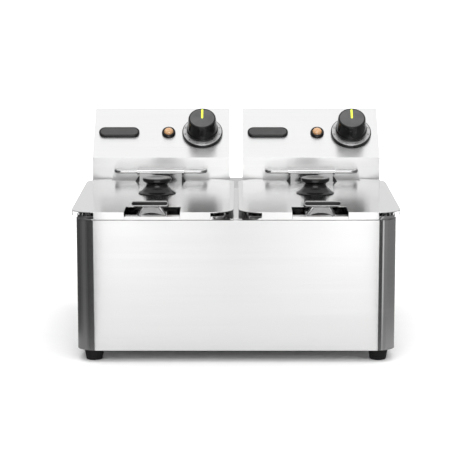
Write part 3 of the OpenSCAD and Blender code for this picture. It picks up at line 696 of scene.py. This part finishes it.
def basket_wires(side):
    """Wires down the walls and across the floor both ways, and level hoops around the walls."""
    low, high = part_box(f"basket_mesh_{side}")
    centre = (low + high) / 2
    half_w, half_l = (high.x - low.x) / 2 - WALL_INSET, (high.y - low.y) / 2 - WALL_INSET
    corner = 22.3 * MM
    floor_z, top_z = low.z + WIRE_R, high.z + 1.2 * MM
    turn_r = 4.5 * MM
    parts = []

    def wall(offset, half_here, half_other):
        """Distance to the wall along the other axis, on the rounded plan."""
        past = max(0.0, abs(offset) - (half_here - corner))
        return half_other - corner + math.sqrt(max(0.0, corner ** 2 - past ** 2))

    def sling(reach, place_at):
        """Down one wall, across the floor and up the other wall."""
        line = [(-reach, top_z), (-reach, floor_z + turn_r)]
        for k in range(1, 6):
            a = math.pi / 2 * k / 6
            line.append((-reach + turn_r * (1 - math.cos(a)), floor_z + turn_r * (1 - math.sin(a))))
        line += [(-reach + turn_r, floor_z)]
        line += [(-x, z) for x, z in reversed(line)]
        parts.append(tube([place_at(x, z) for x, z in line], WIRE_R, 6))

    last = int((half_w - CLEAR_OF_CORNER) / PITCH)
    for k in range(-last, last + 1):
        x = k * PITCH
        sling(wall(x, half_w, half_l), lambda y, z, x=x: centre + Vector((x, y, z - centre.z)))
    last = int((half_l - CLEAR_OF_CORNER) / PITCH)
    for k in range(-last, last + 1):
        y = k * PITCH
        sling(wall(y, half_l, half_w), lambda x, z, y=y: centre + Vector(
            (x, y, z - centre.z + (CROSSING if z < floor_z + 1e-6 else 0))))
    level = floor_z + turn_r
    while level < top_z - PITCH / 2:
        ring = []
        for cx, cy, start in ((1, 1, 0), (-1, 1, 90), (-1, -1, 180), (1, -1, 270)):
            for k in range(9):
                a = math.radians(start + 90 * k / 8)
                r = corner + HOOP_OUT
                ring.append(centre + Vector((cx * (half_w - corner) + r * math.cos(a),
                                             cy * (half_l - corner) + r * math.sin(a),
                                             level - centre.z)))
        parts.append(tube(ring, WIRE_R, 6, closed=True))
        level += PITCH
    verts, faces, _ = merged(parts)
    add_piece(f"basket_wires_{side}", verts, faces, "basket_wire", body_name("basket", side),
              smooth=80.0, replaces=[f"basket_mesh_{side}"])


for side in SIDES:
    basket_wires(side)

# ---------------------------------------------------------------- feet, screws and gland

FOOT_TOP_R = 13.5
FOOT_SCREW_Z = 7
GLAND_BORE_R = 4


def flat_place(point, out):
    """A frame at a point with +Z along out."""
    return Matrix.Translation(point) @ Vector(out).to_track_quat("Z", "Y").to_matrix().to_4x4()


def pan_screw(place, head_r, head_h, shank_r, shank_l):
    """A pan-head screw and its cross recess. The underside of its head is at the frame's origin."""
    profile = [(0.0, -shank_l), (shank_r - 0.4, -shank_l), (shank_r, -shank_l + 0.5), (shank_r, 0.0),
               (head_r - 0.15, 0.0), (head_r, 0.25), (head_r, head_h * 0.35),
               (head_r * 0.93, head_h * 0.66), (head_r * 0.76, head_h * 0.9), (head_r * 0.5, head_h),
               (0.0, head_h)]
    verts, faces, uvs = lathe([(r * MM, z * MM) for r, z in profile], place, 32)
    arm, half, z = head_r * 0.52 * MM, head_r * 0.12 * MM, (head_h + 0.02) * MM
    cross = [(half, half), (half, arm), (-half, arm), (-half, half), (-arm, half), (-arm, -half),
             (-half, -half), (-half, -arm), (half, -arm), (half, -half), (arm, -half), (arm, half)]
    ring = [place @ Vector((x, y, z)) for x, y in cross]
    return (verts, faces, uvs), (ring + [place @ Vector((0, 0, z - head_h * 0.3 * MM))],
                                 [(k, (k + 1) % 12, 12) for k in range(12)])


feet_low, feet_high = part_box("feet")
foot_xs = (feet_low.x + FOOT_TOP_R * MM, feet_high.x - FOOT_TOP_R * MM)
foot_ys = (feet_low.y + FOOT_TOP_R * MM, feet_high.y - FOOT_TOP_R * MM)
foot_parts = []
for x in foot_xs:
    for y in foot_ys:
        outline = rounded([(v[0] * MM, v[1] * MM) for v in (
            (2.2, FOOT_SCREW_Z), (5.5, FOOT_SCREW_Z), (5.5, 0), (10.75, 0), (FOOT_TOP_R, 16),
            (2.2, 16))],
            [0, 0, 0.5 * MM, 1.4 * MM, 0.6 * MM, 0])
        foot_parts.append(lathe(outline, Matrix.Translation((x, y, 0)), 64))
verts, faces, uvs = merged(foot_parts)
add_piece("rubber_feet", verts, faces, "foot_rubber", "housing", uvs=uvs,
          replaces=["feet"])


def screw_set(name, places, sizes, body, replaces):
    """One piece for all the screws of a size, and one for their recesses. sizes are pan_screw's."""
    heads, slots = [], []
    for place in places:
        head, slot_mesh = pan_screw(place, *sizes)
        heads.append(head)
        slots.append(slot_mesh)
    verts, faces, uvs = merged(heads)
    add_piece(name, verts, faces, "screw_steel", body, uvs=uvs, replaces=replaces)
    verts, faces, _ = merged(slots)
    add_piece(f"{name}_recess", verts, faces, "ink", body)


screw_set("foot_screws",
          [flat_place((x, y, FOOT_SCREW_Z * MM), (0, 0, -1)) for x in foot_xs for y in foot_ys],
          (4.6, 2.8, 2.0, 13.0), "housing", ["housing_screws"])
panel_low, panel_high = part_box("back_panel")
panel_xs = [s * (panel_high.x - 6 * MM) for s in (-1, -1 / 3, 1 / 3, 1)]
panel_zs = [panel_low.z + 6 * MM, panel_high.z - 6 * MM]
screw_set("cover_screws",
          [flat_place((x, panel_high.y, z), (0, 1, 0)) for x in panel_xs for z in panel_zs],
          (3.6, 2.0, 1.8, 8.0), "housing", [])

for side in SIDES:
    low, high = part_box(f"head_back_{side}")
    places = [flat_place((x, high.y, z), (0, 1, 0)) for x in (low.x + 6 * MM, high.x - 6 * MM)
              for z in (low.z + 7 * MM, high.z - 7 * MM)]
    screw_set(f"head_cover_screws_{side}", places, (3.2, 1.9, 1.6, 6.0), body_name("head", side),
              [f"head_screws_{side}"])

    gland = centre_of(f"cable_gland_{side}")
    place = flat_place((gland.x, high.y, gland.z), (0, 1, 0))
    hexagon = []
    for z, r in ((0.0, 11.6), (0.5, 12.0), (4.3, 12.0), (4.8, 11.4)):
        corners = [math.radians(60 * k) for k in range(6)]
        ring = rounded([(r * MM * math.cos(a), r * MM * math.sin(a)) for a in corners], 0.9 * MM, 3)
        hexagon.append([place @ Vector((p[0], p[1], z * MM)) for p in ring])
    count = len(hexagon[0])
    turns = [2 * math.pi * (k + 0.5) / count - 0.1 for k in range(count)]
    inner = [[place @ Vector((GLAND_BORE_R * MM * math.cos(a), GLAND_BORE_R * MM * math.sin(a), z * MM))
              for a in turns] for z in (4.8, 0.0)]
    rings = hexagon + inner
    verts = [v for ring in rings for v in ring]
    faces = []
    for i in range(len(rings)):
        a, b = i * count, (i + 1) % len(rings) * count
        faces += [(a + k, a + (k + 1) % count, b + (k + 1) % count, b + k) for k in range(count)]
    nut = (verts, faces, [(0.0, 0.0)] * len(verts))
    sleeve = lathe([(r * MM, z * MM) for r, z in (
        (GLAND_BORE_R, -7.9), (7.9, -7.9), (7.9, -0.1), (7.9, 0.1), (GLAND_BORE_R, 0.1))], place, 64)
    cap_outline = rounded([(r * MM, z * MM) for r, z in (
        (GLAND_BORE_R, 4.7), (10, 4.7), (9.4, 6.4), (9.2, 6.8), (8, 12.8), (GLAND_BORE_R, 12.8))],
        [0, 0.2 * MM, 0.3 * MM, 0.3 * MM, 1.5 * MM, 0.6 * MM])
    cap = lathe(cap_outline, place, 64)
    verts, faces, uvs = merged([nut, sleeve, cap])
    add_piece(f"gland_nut_{side}", verts, faces, "black_matte", body_name("head", side),
              uvs=uvs, replaces=[f"cable_gland_{side}"])

# ---------------------------------------------------------------- floor, light and camera


def stage_mesh(name, verts, faces, material):
    mesh = bpy.data.meshes.new(name)
    mesh.from_pydata(verts, [], faces)
    mesh.materials.append(material)
    obj = bpy.data.objects.new(name, mesh)
    bpy.context.scene.collection.objects.link(obj)
    return obj


# White paper that glows a little with distance, so that the fryer stands in an even white. In front of
# the housing the glow falls off towards the middle and is a little stronger to the right: a painted shade
# for the housing's front panel, which reflects the floor and is a little darker in the middle
floor_nodes = Nodes("floor_paper")
floor_place = floor_nodes.place()
paper = floor_nodes.noise(floor_place, 30.0, 4.0)
floor_nodes.set(Roughness=0.9)
floor_nodes.shader.inputs["Specular IOR Level"].default_value = 0.1
away = floor_nodes.add("ShaderNodeVectorMath", operation="LENGTH")
floor_nodes.join(floor_place, away.inputs[0])
floor_nodes.set(Emission_Color=(1.0, 1.0, 1.0, 1.0))
across = floor_nodes.add("ShaderNodeSeparateXYZ")
floor_nodes.join(floor_place, across.inputs[0])
from_middle = floor_nodes.math("ABSOLUTE", across.outputs[0])
behind_housing = floor_nodes.span(across.outputs[1], 0.0, 1.0, -0.6, -0.25)
middle = floor_nodes.math("MAXIMUM", behind_housing,
                          floor_nodes.span(from_middle, 0.05, 1.0, 0.0, 0.28))
# Painted light: the glow is stronger to the right, so the front panel's reflection is brighter on its
# right
tilt = floor_nodes.span(across.outputs[0], 0.90, 1.14, -0.3, 0.3)
floor_nodes.set(Base_Color=floor_nodes.mix(paper, grey(0.90), grey(0.93)))
lift = floor_nodes.span(away.outputs["Value"], 0.0, 0.75, 0.5, 1.5)
across_share = floor_nodes.math("MULTIPLY", middle, tilt)
floor_nodes.set(Emission_Strength=floor_nodes.math("MULTIPLY", lift, across_share))
FLOOR = 14.0
stage_mesh("floor", [(-FLOOR, -FLOOR, 0), (FLOOR, -FLOOR, 0), (FLOOR, FLOOR, 0), (-FLOOR, FLOOR, 0)],
           [(0, 1, 2, 3)], floor_nodes.material)


def glow(name, level):
    """A material that only shines, grey and even."""
    material = bpy.data.materials.new(name)
    material.use_nodes = True
    tree = material.node_tree
    tree.nodes.clear()
    light = tree.nodes.new("ShaderNodeEmission")
    light.inputs["Color"].default_value = (level, level, level, 1)
    out = tree.nodes.new("ShaderNodeOutputMaterial")
    tree.links.new(light.outputs[0], out.inputs["Surface"])
    return material


def card(name, side_sign, start, end, low, high, level):
    """A grey card curved around a front corner, seen only by shiny parts.

    start and end are degrees around the corner from straight ahead. low and high are (reach, height).
    """
    steps = 8
    verts = []
    for reach, height in (low, high):
        for k in range(steps + 1):
            a = math.radians(start + (end - start) * k / steps)
            verts.append((side_sign * (HALF_W - CORNER_R + reach * math.sin(a)),
                          FRONT_Y - reach * math.cos(a), height))
    faces = [(k, k + 1, steps + 2 + k, steps + 1 + k) for k in range(steps)]
    obj = stage_mesh(name, verts, faces, glow(name, level))
    obj.visible_camera = False
    obj.visible_diffuse = False
    obj.visible_shadow = False


# The cards lie just over the floor in three rings around each front corner, and stand up at the end
# of the last ring
CARD_Z, CARD_TOP_Z = 0.8 * MM, 0.75
NEAR_R, MID_R, FAR_R, END_R = 0.03, 0.17, 0.32, 1.5
# Each fan of cards: where it starts and ends in degrees, and how bright its near, middle and far parts
# are. The standing card is as bright as the far part
CARDS = {
    -1: ((4.6, 47, 0.15, 0.085, 0.067), (47, 59, 0.22, 0.14, 0.11), (59, 84, 0.30, 0.20, 0.15),
         (84, 102, 0.31, 0.14, 0.11), (102, 150, 0.32, 0.11, 0.075)),
    1: ((5.0, 28, 0.13, 0.085, 0.07), (28, 38, 0.42, 0.50, 0.85), (38, 62, 0.36, 0.30, 0.28),
        (62, 150, 0.44, 0.34, 0.25)),
}
for side_sign, fans in CARDS.items():
    for k, (start, end, near, mid, far) in enumerate(fans):
        name = f"card_{'left' if side_sign < 0 else 'right'}_{k}"
        card(f"{name}_near", side_sign, start, end, (NEAR_R, CARD_Z), (MID_R, CARD_Z), near)
        card(f"{name}_mid", side_sign, start, end, (MID_R, CARD_Z), (FAR_R, CARD_Z), mid)
        card(f"{name}_far", side_sign, start, end, (FAR_R, CARD_Z), (END_R, CARD_Z), far)
        start_up = start + (3.0 if k == 0 else 0.0)
        card(f"{name}_up", side_sign, start_up, end, (END_R, CARD_Z), (END_R, CARD_TOP_Z), far)


def softbox(name, size, place, target, power, glossy=True):
    light = bpy.data.lights.new(name, "AREA")
    light.shape = "RECTANGLE"
    light.size, light.size_y = size
    light.energy = power
    obj = bpy.data.objects.new(name, light)
    obj.location = place
    obj.rotation_euler = (Vector(target) - Vector(place)).to_track_quat("-Z", "Y").to_euler()
    obj.visible_glossy = glossy
    bpy.context.scene.collection.objects.link(obj)


softbox("top_box", (2.6, 1.8), (0.0, -0.1, 2.1), (0, 0, 0.1), 24.0, glossy=False)
softbox("front_box", (2.6, 0.8), (0.0, -2.8, 2.2), (0.0, 0, 0.2), 30.0)
softbox("right_box", (0.45, 1.0), (1.5, -1.3, 0.9), (0.1, 0, 0.2), 7.0, glossy=False)

world = bpy.data.worlds.new("studio")
bpy.context.scene.world = world
world.use_nodes = True
sky = world.node_tree
sky.nodes.clear()


def sky_node(kind, **settings):
    made = sky.nodes.new(kind)
    for key, value in settings.items():
        setattr(made, key, value)
    return made


def sky_ramp(source, from_low, from_high, low, high):
    """A soft step of a direction's component from one brightness to another."""
    made = sky_node("ShaderNodeMapRange", interpolation_type="SMOOTHSTEP")
    sky.links.new(source, made.inputs[0])
    for socket, value in zip(made.inputs[1:5], (from_low, from_high, low, high)):
        socket.default_value = value
    return made.outputs[0]


def sky_math(operation, a, b):
    made = sky_node("ShaderNodeMath", operation=operation)
    for socket, value in zip(made.inputs, (a, b)):
        if isinstance(value, float):
            socket.default_value = value
        else:
            sky.links.new(value, socket)
    return made.outputs[0]


# A bright ceiling and a bright wall in front and behind, with darker sides near the horizon
direction = sky_node("ShaderNodeTexCoord").outputs["Generated"]
axes = sky_node("ShaderNodeSeparateXYZ")
sky.links.new(direction, axes.inputs[0])
ceiling = sky_ramp(axes.outputs[2], 0.40, 0.88, 0.36, 1.45)
behind = sky_ramp(axes.outputs[1], 0.25, 0.75, 0.0, 1.18)
front = sky_ramp(axes.outputs[1], -0.90, -0.68, 1.5, 0.0)
brightest = sky_math("MAXIMUM", ceiling, sky_math("MAXIMUM", behind, front))
ray = sky_node("ShaderNodeLightPath")
paper_white = sky_math("MULTIPLY", ray.outputs["Is Camera Ray"], 1.2)
background = sky_node("ShaderNodeBackground")
sky.links.new(sky_math("MAXIMUM", brightest, paper_white), background.inputs["Strength"])
world_out = sky_node("ShaderNodeOutputWorld")
sky.links.new(background.outputs[0], world_out.inputs["Surface"])

camera = bpy.data.cameras.new("camera")
camera.lens = 140.1
camera.sensor_width = 36.0
camera.shift_x = -0.0134
camera_obj = bpy.data.objects.new("camera", camera)
camera_obj.location = (0.0, FRONT_Y - 2.302, 0.588)
camera_obj.rotation_euler = (math.radians(79.90), 0.0, 0.0)
bpy.context.scene.collection.objects.link(camera_obj)
bpy.context.scene.camera = camera_obj
bpy.context.scene.view_settings.view_transform = "Standard"
